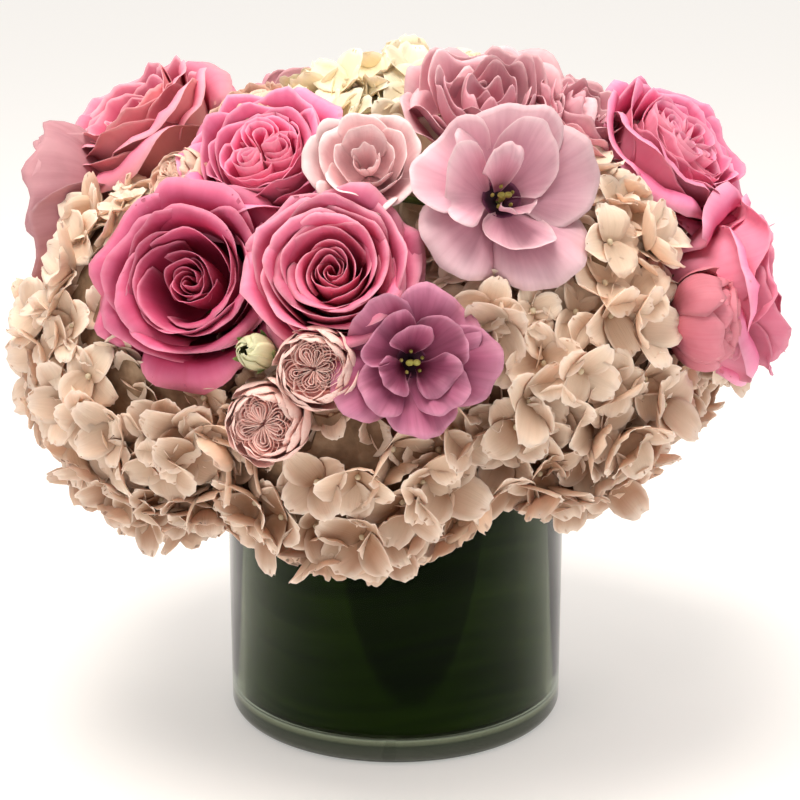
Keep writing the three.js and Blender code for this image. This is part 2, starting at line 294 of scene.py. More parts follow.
def add_ramp(nodes, stops):
    """A colour ramp node with [place, colour] stops."""
    ramp = nodes.new("ShaderNodeValToRGB")
    while len(ramp.color_ramp.elements) < len(stops):
        ramp.color_ramp.elements.new(0.5)
    for element, (spot, colour) in zip(ramp.color_ramp.elements, stops):
        element.position = spot
        element.color = (*colour, 1)
    return ramp


def plant_material(name, stops, rough, stretch, fibre_scale, mottle_scale, bump, laid=False, shine=0.35):
    """Green plant skin: ramp colours from its mottling, with stretched fibres in colour and relief. On a
    leaf that is laid round the glass, the grain and the shade follow numbers on the leaf's points."""
    material, nodes, links, shader = new_material(name)
    spot = nodes.new("ShaderNodeTexCoord").outputs["Object"]
    if laid:
        on_leaf = nodes.new("ShaderNodeCombineXYZ")
        links.new(mark_of(nodes, "along"), on_leaf.inputs[0])
        links.new(mark_of(nodes, "across"), on_leaf.inputs[1])
        spot = on_leaf.outputs[0]
    scale = nodes.new("ShaderNodeMapping")
    set_inputs(scale, Scale=stretch)
    grain = nodes.new("ShaderNodeGroup")
    grain.node_tree = plant_grain
    set_inputs(grain, Fibre_Scale=fibre_scale, Mottle_Scale=mottle_scale)
    links.new(spot, scale.inputs["Vector"])
    links.new(scale.outputs["Vector"], grain.inputs["Place"])
    tree = material.node_tree
    fibre_share, darkening = 0.45, 0.22
    tone = sum_of(tree, "MULTIPLY_ADD", grain.outputs["Fibre"], fibre_share, grain.outputs["Mottle"])
    tone = sum_of(tree, "SUBTRACT", tone, darkening)
    if laid:
        tone = sum_of(tree, "SUBTRACT", tone, mark_of(nodes, "shade"))
    ramp = add_ramp(nodes, stops)
    links.new(tone, ramp.inputs["Fac"])
    links.new(ramp.outputs["Color"], shader.inputs["Base Color"])
    add_relief(nodes, links, grain.outputs["Fibre"], shader, bump, 0.0006)
    set_inputs(shader, Roughness=rough, Specular_IOR_Level=shine)
    return material


liner_green = plant_material(
    "liner_leaf_green",
    [(0.10, (0.009, 0.020, 0.004)), (0.42, (0.062, 0.11, 0.016)), (0.8, (0.21, 0.30, 0.052))],
    0.6, (0.06, 1.0, 1.0), 260.0, 34.0, 0.12, laid=True, shine=0.06)


def set_marks(thing, **marks):
    """Named numbers on a mesh's points, which its material reads."""
    for name, values in marks.items():
        layer = thing.data.attributes.new(name, "FLOAT", "POINT")
        layer.data.foreach_set("value", np.asarray(values, np.float32).ravel())


def liner_leaf(name, radius, node, shade_at):
    """A thin bent leaf that stands on the floor's rounded edge, with a wavy top edge."""
    low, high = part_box(node)
    span = math.radians(205)
    middle = math.radians(-90 if node == "liner_leaf_outer" else 90)
    rows, cols, thick, top_wave = 40, 240, 0.0008, 0.003
    vein_rise, vein_wave = 0.16, 0.012
    points, faces, marks, along, across = [], [], [], [], []
    for side in (0, 1):
        for i in range(rows + 1):
            for j in range(cols + 1):
                turn = middle + span * (j / cols - 0.5)
                top = high.z - top_wave * (1 + math.sin(3 * turn + 1)) * 0.5
                z = low.z + (top - low.z) * i / rows
                r = radius - thick * side
                points.append((r * math.cos(turn), r * math.sin(turn), z))
                marks.append(shade_at(math.degrees(turn) + 90, z))
                along.append(radius * turn)
                across.append(z + vein_rise * radius * turn + vein_wave * math.sin(2 * turn))
    one = (rows + 1) * (cols + 1)
    for i in range(rows):
        for j in range(cols):
            a = i * (cols + 1) + j
            b, c, d = a + 1, a + cols + 2, a + cols + 1
            faces.append((a, b, c, d))
            faces.append((one + a, one + d, one + c, one + b))
    edge = [*range(cols)] + [cols + i * (cols + 1) for i in range(rows)]
    edge += [rows * (cols + 1) + cols - j for j in range(cols)]
    edge += [(rows - i) * (cols + 1) for i in range(rows)]
    for k, a in enumerate(edge):
        b = edge[(k + 1) % len(edge)]
        faces.append((b, a, one + a, one + b))
    leaf = add_object(name, points, faces, liner_green)
    set_marks(leaf, shade=marks, along=along, across=across)
    finish_piece(leaf, "liner_leaf", node)


def step_up(low, high, value):
    """A smooth 0 to 1 as a value goes from low to high, which may be below low."""
    share = min(max((value - low) / (high - low), 0), 1)
    return share * share * (3 - 2 * share)


def front_shade(turn, z):
    """Darker in a rounded tongue where the leaf end lies against the glass, with painted shade in a narrow
    fold, and paler towards both sides, by degrees and height.
    """
    tongue_middle, tongue_half, tongue_length = 5.46, 27.0968, 0.125
    from_middle = (turn - tongue_middle) / tongue_half
    below_rim = (z - vase_height) / tongue_length
    inside = 1 - math.hypot(from_middle, below_rim * (1.0 if below_rim < 0 else 0.2))
    tongue = step_up(-0.004, 0.008, inside) * 0.30 + step_up(0.03, 0.0, abs(inside - 0.02)) * -0.06
    # Painted shade in a narrow fold.
    fold_middle = 43
    fold_half = 0.6 + 3.0 * step_up(0.09, 0.15, z)
    fold = step_up(0.0, 1.0, 1 - abs(turn - fold_middle) / fold_half) * 0.2
    paler_left = -0.10 * step_up(-30, -60, turn)
    paler_right = -0.12 * step_up(44, 50, turn)
    return tongue + fold * step_up(0.085, 0.1, z) + paler_left + paler_right


def back_shade(turn, z):
    """Soft upright stripes."""
    return 0.04 * math.sin(turn / 9)


leaf_gap, leaf_step = 0.0005, 0.0013
liner_leaf("front_liner_leaf", inner_radius - leaf_gap, "liner_leaf_outer", front_shade)
liner_leaf("back_liner_leaf", inner_radius - leaf_gap - leaf_step, "liner_leaf_inner", back_shade)

# Stems.
# Fresh green stems stand on the glass floor in two rings, cross a little towards the neck and bend
# out to their flowers. They are round, stripped of leaves, and held by one another and the rim.

stem_green = plant_material(
    "stem_green",
    [(0.1, (0.045, 0.085, 0.018)), (0.5, (0.10, 0.17, 0.040)), (0.9, (0.20, 0.27, 0.085))],
    0.5, (1.0, 1.0, 0.10), 420.0, 60.0, 0.4)
swell_to_round = 0.19  # a six-sided tube shrinks by a sixth of its radius when it is subdivided
stem_radius = {"rose": 0.003, "hydrangea": 0.0035, "lisianthus": 0.002, "spray": 0.0018}
for name in sorted(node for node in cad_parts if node.endswith("_stem")):
    round_name = name.replace("_stem", "_round_stem")
    round_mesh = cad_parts[name].data.copy()
    round_mesh.name = round_name
    shaper = bmesh.new()
    shaper.from_mesh(round_mesh)
    bmesh.ops.remove_doubles(shaper, verts=shaper.verts, dist=1e-6)
    shaper.normal_update()
    swell = stem_radius[name.split("_")[0]] * swell_to_round
    for corner in shaper.verts:
        corner.co += corner.normal * swell
    shaper.to_mesh(round_mesh)
    shaper.free()
    round_mesh.materials.clear()
    round_mesh.materials.append(stem_green)
    stem = add_thing(round_name, round_mesh)
    rounding = stem.modifiers.new("rounding", "SUBSURF")
    rounding.levels = 2
    rounding.render_levels = 2
    round_mesh.polygons.foreach_set("use_smooth", [True] * len(round_mesh.polygons))
    finish_piece(stem, "green_stem", name)

# Roses.
# Garden roses with some thirty petals each: a tight spiral or folded heart, rings of upright cupped
# petals and broad outer ones that roll back at the lip. Each grows on a green hip with five sepals.


def cad_points(node):
    """The distinct corners of a CAD node."""
    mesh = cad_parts[node].data
    places = np.empty(len(mesh.vertices) * 3)
    mesh.vertices.foreach_get("co", places)
    return np.unique(np.round(places.reshape(-1, 3), 6), axis=0)


def stem_end(plant, bloom_node):
    """Where a bloom sits on its stem, and the way the stem points there."""
    corners = cad_points(plant + "_stem")
    middle = cad_points(bloom_node).mean(0)
    ring = corners[np.argsort(np.linalg.norm(corners - middle, axis=1))[:6]]
    seat = ring.mean(0)
    way = np.linalg.svd(ring - seat)[2][2]
    if np.dot(way, middle - seat) < 0:
        way = -way
    return Vector(seat), Vector(way)


def stand_on(seat, way):
    """The matrix that stands a bloom made on +Z on its stem's end."""
    return Matrix.Translation(seat) @ way.to_track_quat("Z", "Y").to_matrix().to_4x4()


class Petals:
    """Collects thin closed sheets, with numbers on their points, for one mesh."""

    def __init__(self):
        self.points, self.faces, self.count = [], [], 0
        self.marks = {"along": [], "across": [], "heart": [], "tint": [], "reverse": []}

    def add(self, sheet, thickness, heart, tint):
        """A sheet of rows from the foot to the lip and columns across, whose front faces the heart."""
        rows, cols = sheet.shape[:2]
        up = np.gradient(sheet, axis=0)
        side = np.gradient(sheet, axis=1)
        front = np.cross(up, side)
        front /= np.linalg.norm(front, axis=2, keepdims=True) + 1e-12
        along, across = np.meshgrid(np.linspace(0, 1, rows), np.linspace(0, 1, cols), indexing="ij")
        thin = 1 - 0.7 * np.maximum(along, np.abs(2 * across - 1)) ** 4
        offset = front * (thickness / 2 * thin)[:, :, None]
        start, one = self.count, rows * cols
        self.points.append((sheet + offset).reshape(-1, 3))
        self.points.append((sheet - offset).reshape(-1, 3))
        grid = start + np.arange(one).reshape(rows, cols)
        a, b, c, d = grid[:-1, :-1], grid[1:, :-1], grid[1:, 1:], grid[:-1, 1:]
        quads = np.stack([a, b, c, d], axis=-1).reshape(-1, 4)
        self.faces.append(quads)
        self.faces.append(quads[:, ::-1] + one)
        rim = np.concatenate([grid[:-1, 0], grid[-1, :-1], grid[:0:-1, -1], grid[0, :0:-1]])
        after = np.roll(rim, -1)
        self.faces.append(np.stack([rim, rim + one, after + one, after], axis=-1))
        self.count += 2 * one
        for mark, values in (("along", along), ("across", across)):
            self.marks[mark] += [values.ravel(), values.ravel()]
        self.marks["heart"].append(np.full(2 * one, heart))
        self.marks["tint"].append(np.full(2 * one, tint))
        self.marks["reverse"] += [np.zeros(one), np.ones(one)]

    def build(self, name, material, matrix):
        """The mesh object of all the sheets, put in its place."""
        points = np.concatenate(self.points)
        turn = np.array(matrix)
        points = points @ turn[:3, :3].T + turn[:3, 3]
        faces = np.concatenate(self.faces)
        mesh = bpy.data.meshes.new(name)
        mesh.vertices.add(len(points))
        mesh.vertices.foreach_set("co", points.ravel())
        mesh.loops.add(faces.size)
        mesh.loops.foreach_set("vertex_index", faces.ravel())
        mesh.polygons.add(len(faces))
        mesh.polygons.foreach_set("loop_start", np.arange(0, faces.size, 4))
        mesh.polygons.foreach_set("use_smooth", np.ones(len(faces), bool))
        mesh.update(calc_edges=True)
        mesh.materials.append(material)
        bloom = add_thing(name, mesh)
        set_marks(bloom, **{mark: np.concatenate(values) for mark, values in self.marks.items()})
        return bloom


def bezier(ends, share):
    """Points of a curve with four control points, each a radius and a height."""
    p = np.asarray(ends)
    s = np.asarray(share)[:, None]
    return (1 - s) ** 3 * p[0] + 3 * s * (1 - s) ** 2 * p[1] + 3 * s * s * (1 - s) * p[2] + s ** 3 * p[3]


def about_axis(radius, angle, height):
    """Points at radii and angles about a bloom's own axis."""
    x, y = radius * np.cos(angle), radius * np.sin(angle)
    return np.stack([x, y, height + 0 * x], axis=-1)


def curved_petal(
        outline, turn, half_angle, rows, cols, drop=0.2, point=0.05, roll=0.0, spiral=0.0, wave=0.0,
        waves=5.0, phase=0.0, slant=0.0, narrow=0.45, curl=0.0, nicks=0.0, crumple=0.0, sway=0.0,
        shoulder=2.3):
    """One petal as a grid, from the outline of its middle line.
    drop rounds its shoulders, and a higher shoulder makes them squarer. point pulls its tip out, roll
    turns its sides back, spiral lets one side tuck under its neighbour, wave ruffles its lip, slant tips
    it sideways, curl rolls its lip over unevenly, nicks make the lip uneven, crumple bends it all over
    and sway folds the ruffles sideways."""
    share = np.linspace(0, 1, rows)
    across = np.linspace(-1, 1, cols)
    grid_share, grid_across = np.meshgrid(share, across, indexing="ij")
    from_middle = np.abs(grid_across)
    reach = 1 - drop * from_middle ** shoulder + point * np.maximum(0, 1 - 3.0 * from_middle) ** 2 - point
    uneven = np.sin(9 * grid_across + 3 * phase) + 0.7 * np.sin(19 * grid_across + 5 * phase) + 1.2
    reach = reach - nicks * uneven
    eased = np.clip(grid_share * reach, 0, 1)
    line = bezier(outline, eased.ravel())
    radius = line[:, 0].reshape(rows, cols)
    height = line[:, 1].reshape(rows, cols)
    size = max(outline[3][0], outline[2][0], 1e-4)
    rolled = roll * from_middle ** 2.4 * grid_share ** 1.6
    ruffle = wave * np.sin(waves * grid_across * math.pi / 2 + phase) * grid_share ** 2.2
    lip_start = 0.84
    lip = np.maximum(0, grid_share - lip_start) / (1 - lip_start)
    curl = curl * (1 + 0.7 * np.sin(2.6 * grid_across + 1.7 * phase))
    bent = np.sin(3.1 * grid_across + 2.3 * grid_share + phase)
    bent = crumple * grid_share * (bent + 0.6 * np.sin(6.7 * grid_across - 4.1 * grid_share + 2 * phase))
    height = height + bent
    radius = radius + spiral * grid_across * grid_share + ruffle * 0.3 - rolled * 0.25
    radius = radius + curl * lip + 0.5 * bent
    height = height - rolled + ruffle + slant * grid_across * grid_share - curl * 0.9 * lip ** 2
    spread = half_angle * (narrow + (1 - narrow) * np.sin(np.clip(eased * 1.25, 0, 1) * math.pi / 2))
    folded = sway * np.cos(waves * grid_across * math.pi / 2 + phase) * grid_share ** 2
    angle = turn + grid_across * spread + folded
    return about_axis(np.maximum(radius, size * 0.01), angle, height)


# Middle lines of rose petals from the heart to the outermost, as shares of half the width and of the
# height: [place, the four control points, half angle in degrees, side roll, lip wave].
rose_lines = [
    (0.00, (0.01, 0.20, 0.08, 0.40, 0.11, 0.72, 0.04, 0.82), 135, 0.00, 0.01),
    (0.12, (0.02, 0.18, 0.16, 0.32, 0.21, 0.74, 0.15, 0.86), 108, 0.00, 0.02),
    (0.24, (0.03, 0.16, 0.28, 0.26, 0.31, 0.76, 0.27, 0.90), 92, 0.01, 0.02),
    (0.40, (0.04, 0.14, 0.44, 0.20, 0.47, 0.80, 0.46, 0.97), 80, 0.02, 0.02),
    (0.60, (0.05, 0.10, 0.58, 0.12, 0.58, 0.84, 0.62, 1.02), 70, 0.04, 0.03),
    (0.78, (0.05, 0.08, 0.74, 0.08, 0.68, 0.90, 0.88, 0.96), 62, 0.08, 0.04),
    (1.00, (0.06, 0.06, 0.84, 0.05, 0.78, 0.88, 1.07, 0.70), 58, 0.12, 0.06),
]
# The heart, the cupped and the outer petals: between which places each ring stands, and its petals.
# The open rose has a looser middle.
open_rings = [(0.0, 0.22, 8), (0.40, 0.60, 10), (0.66, 1.0, 13)]
full_rings = [(0.0, 0.28, 9), (0.34, 0.62, 12), (0.67, 1.0, 13)]


def add_folds(bloom, half, height, groups, folds, centre_share, fold_share, chance):
    """Groups of small petals, folded one round another like the leaves of a cabbage heart."""
    first_turn = chance.uniform(0, 6.28)
    across = np.linspace(-1, 1, 13)
    share = np.linspace(0, 1, 7)
    back_share, fold_bend, fold_thickness = 0.6, math.radians(112), 0.0004
    foot = height * 0.4
    for g in range(groups):
        middle_turn = first_turn + 2 * math.pi * g / groups + chance.uniform(-0.35, 0.35)
        middle = np.array([math.cos(middle_turn), math.sin(middle_turn)]) * half * centre_share
        middle = middle * chance.uniform(0.75, 1.15)
        grown = chance.uniform(0.8, 1.15)
        leaning = chance.uniform(-0.5, 0.5)
        for fold in range(folds):
            radius = half * fold_share * grown * (0.8 + fold + chance.uniform(-0.2, 0.2))
            bend = np.clip(np.abs(across) / back_share, 0, 1) * np.sign(across)
            angle = middle_turn + leaning + bend * fold_bend + chance.uniform(-0.35, 0.35)
            inward = np.clip((np.abs(across) - back_share) / (1 - back_share), 0, 1) * 0.85
            kept = 1 - inward * (1 - fold / (2 * folds))
            lip = height * (1.0 - 0.015 * fold + chance.uniform(-0.05, 0.03))
            spread = radius * (1 + 0.25 * share ** 3)
            crinkle = 0.16 * radius * np.sin(across * chance.uniform(4, 8) + chance.uniform(0, 6))
            away = spread[:, None] + crinkle[None, :]
            x = (middle[0] + away * np.cos(angle)[None, :]) * kept
            y = (middle[1] + away * np.sin(angle)[None, :]) * kept
            z = (foot + (lip - foot) * share)[:, None] - 0.06 * height * across[None, :] ** 4
            bloom.add(np.stack([x, y, z], axis=-1), fold_thickness, 0.8, chance.random())


def between(lines, place):
    """The values of a list of petal lines at a place between the heart and the outermost."""
    spots = [line[0] for line in lines]
    flat = np.array([[*line[1], *line[2:]] for line in lines], float)
    return [np.interp(place, spots, flat[:, k]) for k in range(flat.shape[1])]


golden_angle = 2.39996
rose_petal_thickness = 0.0006


def rose_bloom(width, height, seed, folds, rings):
    """A rose's petals in turn from the heart outwards, each a golden angle on from the last. A heart
    may be of several groups of folded petals instead of one spiral."""
    chance = random.Random(seed)
    bloom = Petals()
    half = width / 2
    first_turn = chance.uniform(0, 2 * math.pi)
    rings = rings[1:] if folds else rings
    places = [low + (high - low) * k / (count - 1) for low, high, count in rings for k in range(count)]
    if folds:
        add_folds(bloom, half, height * 0.95, *folds, chance)
    for i, place in enumerate(places):
        values = between(rose_lines, place)
        wobble = 1 + chance.uniform(-0.05, 0.05)
        outline = []
        for k in range(4):
            lift = chance.uniform(-0.03, 0.03) if k > 1 else 0
            radius = values[2 * k] * half * (wobble if k > 1 else 1)
            outline.append((radius, values[2 * k + 1] * height * (1 + lift)))
        turn = first_turn + i * golden_angle + chance.uniform(-0.14, 0.14)
        grid = curved_petal(
            outline, turn, math.radians(values[8]), rows=16, cols=21, drop=0.20 - 0.04 * place,
            point=0.02 + 0.06 * place, roll=values[9] * height * chance.uniform(0.3, 1.5),
            spiral=half * (0.06 - 0.015 * place), wave=values[10] * height * chance.uniform(0.5, 1.3),
            waves=chance.uniform(2.5, 5.0), phase=chance.uniform(0, 6.28),
            slant=height * chance.uniform(-0.04, 0.04),
            curl=half * (0.02 + 0.07 * place) * chance.uniform(0.4, 1.5), nicks=0.015,
            crumple=0.022 * height * place, sway=0.03 * place)
        bloom.add(grid, rose_petal_thickness, 1 - place, chance.random())
    return bloom


def petal_tones():
    """Colour and relief of a petal: deeper towards its foot and in the heart, partly deeper colour and
    partly painted shade, paler at the lip, partly a painted highlight, and paler on its back, with fine
    veins that fan out from the foot and soft blotches."""
    sockets = [(name, "INPUT", "Color") for name in ("Deep", "Main", "Lip", "Back")]
    plain = ("Heart Depth", "Foot Depth", "Lip Width", "Vein Strength", "Variation")
    sockets += [(name, "INPUT", "Float") for name in plain]
    sockets += [("Color", "OUTPUT", "Color"), ("Height", "OUTPUT", "Float")]
    group, inward, outward = new_group("petal_tones", sockets)
    nodes, links = group.nodes, group.links
    given = inward.outputs

    def sums(operation, *values):
        return sum_of(group, operation, *values)

    def blend(share, first, second):
        step = nodes.new("ShaderNodeMix")
        step.data_type = "RGBA"
        step.clamp_factor = True
        links.new(share, step.inputs[0])
        links.new(first, step.inputs[6])
        links.new(second, step.inputs[7])
        return step.outputs[2]

    def mottling(scale, place):
        noise = nodes.new("ShaderNodeTexNoise")
        set_inputs(noise, Scale=scale, Detail=3.0)
        links.new(place, noise.inputs["Vector"])
        return noise.outputs["Fac"]

    along, across, heart, tint = [mark_of(nodes, mark) for mark in ("along", "across", "heart", "tint")]
    # Darker towards the foot and in the heart: partly the petal's deeper colour, partly painted shade.
    foot = sums("POWER", sums("SUBTRACT", 1.0, along), 1.6)
    heart_tone_and_shade = sums("MULTIPLY", sums("POWER", heart, 1.3), given["Heart Depth"])
    deep_tone_and_shade = sums("MULTIPLY_ADD", foot, given["Foot Depth"], heart_tone_and_shade)
    colour = blend(deep_tone_and_shade, given["Main"], given["Deep"])
    # Paler at the lip, partly a painted highlight.
    from_middle = sums("MULTIPLY", sums("ABSOLUTE", sums("SUBTRACT", across, 0.5)), 2.0)
    outer = sums("MAXIMUM", along, from_middle)
    lip = sums("MULTIPLY", sums("POWER", outer, given["Lip Width"]), sums("POWER", along, 0.7))
    colour = blend(lip, colour, given["Lip"])
    colour = blend(sums("MULTIPLY", mark_of(nodes, "reverse"), 0.75), colour, given["Back"])
    fan = nodes.new("ShaderNodeCombineXYZ")
    for socket, value, spacing in zip(fan.inputs, (across, along, tint), (22.0, 1.5, 40.0)):
        links.new(sums("MULTIPLY", value, spacing), socket)
    veins = mottling(1.0, fan.outputs[0])
    blotch = mottling(90.0, nodes.new("ShaderNodeTexCoord").outputs["Object"])
    vein_share = sums("MULTIPLY", sums("SUBTRACT", veins, 0.42), given["Vein Strength"])
    colour = blend(vein_share, colour, given["Deep"])
    of_petal = sums("MULTIPLY", sums("SUBTRACT", tint, 0.5), given["Variation"])
    of_spot = sums("MULTIPLY", sums("SUBTRACT", blotch, 0.5), given["Variation"])
    brighter = nodes.new("ShaderNodeHueSaturation")
    links.new(sums("ADD", sums("ADD", of_petal, of_spot), 1.0), brighter.inputs["Value"])
    links.new(colour, brighter.inputs["Color"])
    links.new(brighter.outputs["Color"], outward.inputs["Color"])
    links.new(sums("ADD", veins, sums("MULTIPLY", blotch, 0.6)), outward.inputs["Height"])
    return group


petal_tones_group = petal_tones()


def petal_material(
        name, deep, main, lip, back, heart=0.8, foot=0.7, lip_width=9.0, veins=0.5, variation=0.3,
        rough=0.55, glow=0.12):
    """A petal's skin: soft, slightly see-through and faintly velvety."""
    material, nodes, links, shader = new_material(name)
    tones = nodes.new("ShaderNodeGroup")
    tones.node_tree = petal_tones_group
    set_inputs(tones, Deep=(*deep, 1), Main=(*main, 1), Lip=(*lip, 1), Back=(*back, 1), Variation=variation)
    # heart and foot set how far the heart and the petal's foot darken, partly deeper colour and partly
    # painted shade; lip_width sets the width of the paler lip, partly a painted highlight.
    set_inputs(tones, Heart_Depth=heart, Foot_Depth=foot, Lip_Width=lip_width, Vein_Strength=veins)
    links.new(tones.outputs["Color"], shader.inputs["Base Color"])
    add_relief(nodes, links, tones.outputs["Height"], shader, 0.35, 0.0005)
    set_inputs(shader, Roughness=rough, Specular_IOR_Level=0.25, Subsurface_Weight=glow)
    set_inputs(shader, Subsurface_Radius=(0.9, 0.45, 0.45), Subsurface_Scale=0.003)
    return material


def calyx(name, seat, way, hip, length, droop, seed):
    """A green hip under a bloom with five narrow pointed sepals that fold back from it."""
    chance = random.Random(seed)
    parts = Petals()
    hip_sides, sepals, sepal_half_width, sepal_thickness = 12, 5, 0.0026, 0.0004
    share = np.linspace(0, 1, 7)
    radius = hip * np.sin(np.clip(share * 1.05 + 0.12, 0, 1) * math.pi) ** 0.6
    columns = []
    for k in range(hip_sides + 1):
        turn = 2 * math.pi * k / hip_sides
        x, y = radius * math.cos(turn), radius * math.sin(turn)
        columns.append(np.stack([x, y, share * hip * 1.7], axis=-1))
    parts.add(np.stack(columns, axis=1), 0.0003, 0.5, 0.5)
    share = np.linspace(0, 1, 10)
    half = sepal_half_width * (1 - share ** 1.5) + 0.00015
    for i in range(sepals):
        turn = 2 * math.pi * i / sepals + chance.uniform(-0.2, 0.2)
        fall = droop * chance.uniform(0.6, 1.2)
        outline = [
            (hip * 0.7, hip * 1.2),
            (hip * 1.2, hip * 1.5 + length * 0.2 * (1 - fall)),
            (hip + length * 0.5, hip * 1.5 + length * (0.55 - 0.7 * fall)),
            (hip + length * (0.45 + 0.4 * fall), hip * 1.5 + length * (0.95 - 1.3 * fall)),
        ]
        line = bezier(outline, share)
        columns = []
        for j in np.linspace(-1, 1, 5):
            x = line[:, 0] * math.cos(turn) - half * j * math.sin(turn)
            y = line[:, 0] * math.sin(turn) + half * j * math.cos(turn)
            columns.append(np.stack([x, y, line[:, 1] + 0.25 * half * j * j], axis=-1))
        parts.add(np.stack(columns, axis=1), sepal_thickness, 0.2, chance.random())
    finish_piece(parts.build(name, calyx_green, stand_on(seat, way)), "green_stem")


calyx_green = plant_material(
    "calyx_green",
    [(0.1, (0.06, 0.11, 0.025)), (0.5, (0.15, 0.22, 0.06)), (0.9, (0.27, 0.32, 0.12))],
    0.55, (1.0, 1.0, 1.0), 500.0, 120.0, 0.4)
rose_pink = petal_material(
    "rose_pink", (0.70, 0.06, 0.17), (0.80, 0.17, 0.36), (0.92, 0.38, 0.54), (0.80, 0.30, 0.40),
    heart=0.6, foot=0.6, lip_width=14.0, veins=0.6)
rose_magenta = petal_material(
    "rose_magenta", (0.50, 0.026, 0.075), (0.56, 0.08, 0.20), (0.80, 0.27, 0.40), (0.62, 0.16, 0.27),
    heart=0.6, foot=0.5, lip_width=16.0, veins=0.6)
rose_dusty = petal_material(
    "rose_dusty", (0.66, 0.05, 0.13), (0.74, 0.15, 0.30), (0.88, 0.38, 0.49), (0.72, 0.23, 0.33),
    heart=0.55, foot=0.5, lip_width=12.0, veins=0.6)
rose_soft_pink = petal_material(
    "rose_soft_pink", (0.60, 0.06, 0.15), (0.78, 0.18, 0.31), (0.90, 0.42, 0.50), (0.68, 0.30, 0.29),
    lip_width=14.0, veins=0.3)
# Folded hearts: how many groups, petals in each, their distance from the middle and their spacing.
three_folds = (3, 4, 0.20, 0.060)
four_folds = (4, 4, 0.24, 0.060)
# Name, width, skin, seed and folded heart.
roses = [
    ("rose_front_left", 0.076, rose_magenta, 11, None),
    ("rose_front_centre", 0.067, rose_dusty, 12, None),
    ("rose_top_left", 0.073, rose_pink, 13, three_folds),
    ("rose_far_left", 0.076, rose_soft_pink, 14, None),
    ("rose_top_right", 0.074, rose_pink, 15, four_folds),
    ("rose_far_right", 0.078, rose_pink, 16, None),
    ("rose_back_left", 0.074, rose_pink, 17, three_folds),
    ("rose_back_right", 0.074, rose_magenta, 18, None),
]
rose_tallness = 0.74
rose_hip, rose_sepal, rose_sepal_droop = 0.0055, 0.024, 0.55
for name, width, skin, seed, folds in roses:
    seat, way = stem_end(name, name + "_bloom")
    rings = open_rings if name == "rose_front_left" else full_rings
    bloom = rose_bloom(width, width * rose_tallness, seed, folds, rings)
    petals = bloom.build(name + "_petals", skin, stand_on(seat, way))
    finish_piece(petals, "rose_petal", name + "_bloom")
    calyx(name + "_calyx", seat, way, rose_hip, rose_sepal, rose_sepal_droop, seed)

# Lisianthus.
# Satin-thin flowers of broad wavy petals round a small throat, dark in its own colour and in painted shade,
# with a two-lobed green stigma.
# Some are open bowls and some ruffled doubles, one is half open, and a tired one hangs at the side.

# Middle lines of lisianthus petals, inner to outer, in the same way as the roses'.
bowl_lines = [
    (0.0, (0.10, 0.42, 0.16, 0.62, 0.26, 0.90, 0.38, 1.10), 50, -0.10, 0.10),
    (0.45, (0.09, 0.36, 0.20, 0.60, 0.44, 0.70, 0.64, 1.02), 62, -0.04, 0.16),
    (1.0, (0.07, 0.22, 0.22, 0.54, 0.66, 0.66, 1.03, 0.80), 60, 0.05, 0.18),
]
double_lines = [
    (0.0, (0.03, 0.30, 0.20, 0.46, 0.30, 0.84, 0.18, 1.02), 100, 0.0, 0.05),
    (0.5, (0.04, 0.22, 0.50, 0.30, 0.62, 0.80, 0.58, 1.06), 80, 0.02, 0.09),
    (1.0, (0.05, 0.16, 0.66, 0.16, 0.86, 0.66, 1.06, 0.72), 66, 0.06, 0.17),
]
cup_lines = [
    (0.0, (0.03, 0.38, 0.16, 0.50, 0.24, 0.90, 0.26, 1.04), 80, 0.0, 0.08),
    (0.5, (0.04, 0.34, 0.50, 0.36, 0.56, 0.90, 0.60, 1.14), 72, 0.04, 0.11),
    (1.0, (0.05, 0.30, 0.72, 0.30, 0.80, 0.84, 1.02, 0.94), 64, 0.10, 0.14),
]
far_lines = [
    (0.0, (0.03, 0.30, 0.30, 0.40, 0.50, 0.76, 0.50, 0.96), 80, 0.0, 0.08),
    (1.0, (0.05, 0.14, 0.72, 0.14, 0.96, 0.56, 1.04, 0.92), 76, 0.04, 0.09),
]
lisianthus_petal_thickness = 0.00045


def lisianthus_bloom(lines, whorls, width, height, seed, ruffles, hang, down):
    """Whorls of ruffled petals: each whorl is its place from inner to outer and its count of petals.
    A bloom that hangs has longer petals on the side that faces down."""
    chance = random.Random(seed)
    bloom = Petals()
    half = width / 2
    rows, cols = 17, 25
    turn_by = chance.uniform(0, 6.28)
    for place, count in whorls:
        values = between(lines, place)
        turn_by += math.pi / count + 0.35
        for i in range(count):
            turn = turn_by + 2 * math.pi * i / count + chance.uniform(-0.12, 0.12)
            size = chance.uniform(0.92, 1.04) + hang * math.cos(turn - down)
            lift = chance.uniform(-0.06, 0.06) * height
            outline = []
            for k in range(4):
                radius = values[2 * k] * half * (size if k > 1 else 1)
                outline.append((radius, values[2 * k + 1] * height + (lift if k > 1 else 0)))
            grid = curved_petal(
                outline, turn, math.radians(values[8]), rows, cols, drop=0.55, shoulder=3.6, point=0.0,
                roll=values[9] * height, spiral=half * chance.uniform(0.02, 0.06),
                wave=values[10] * height * chance.uniform(0.7, 1.4), waves=chance.uniform(1.8, 2.8),
                phase=chance.uniform(0, 6.28), slant=height * chance.uniform(-0.12, 0.12), narrow=0.38,
                nicks=0.014, curl=half * chance.uniform(-0.03, 0.06), crumple=0.045 * height,
                sway=0.04 * ruffles)
            across = np.linspace(-1, 1, cols) * chance.uniform(8, 11)
            flutter = 0.05 * ruffles * height * np.sin(across + chance.uniform(0, 6))
            grid[:, :, 2] += flutter[None, :] * (np.linspace(0, 1, rows) ** 3)[:, None]
            bloom.add(grid, lisianthus_petal_thickness, 1 - place, chance.random())
    return bloom


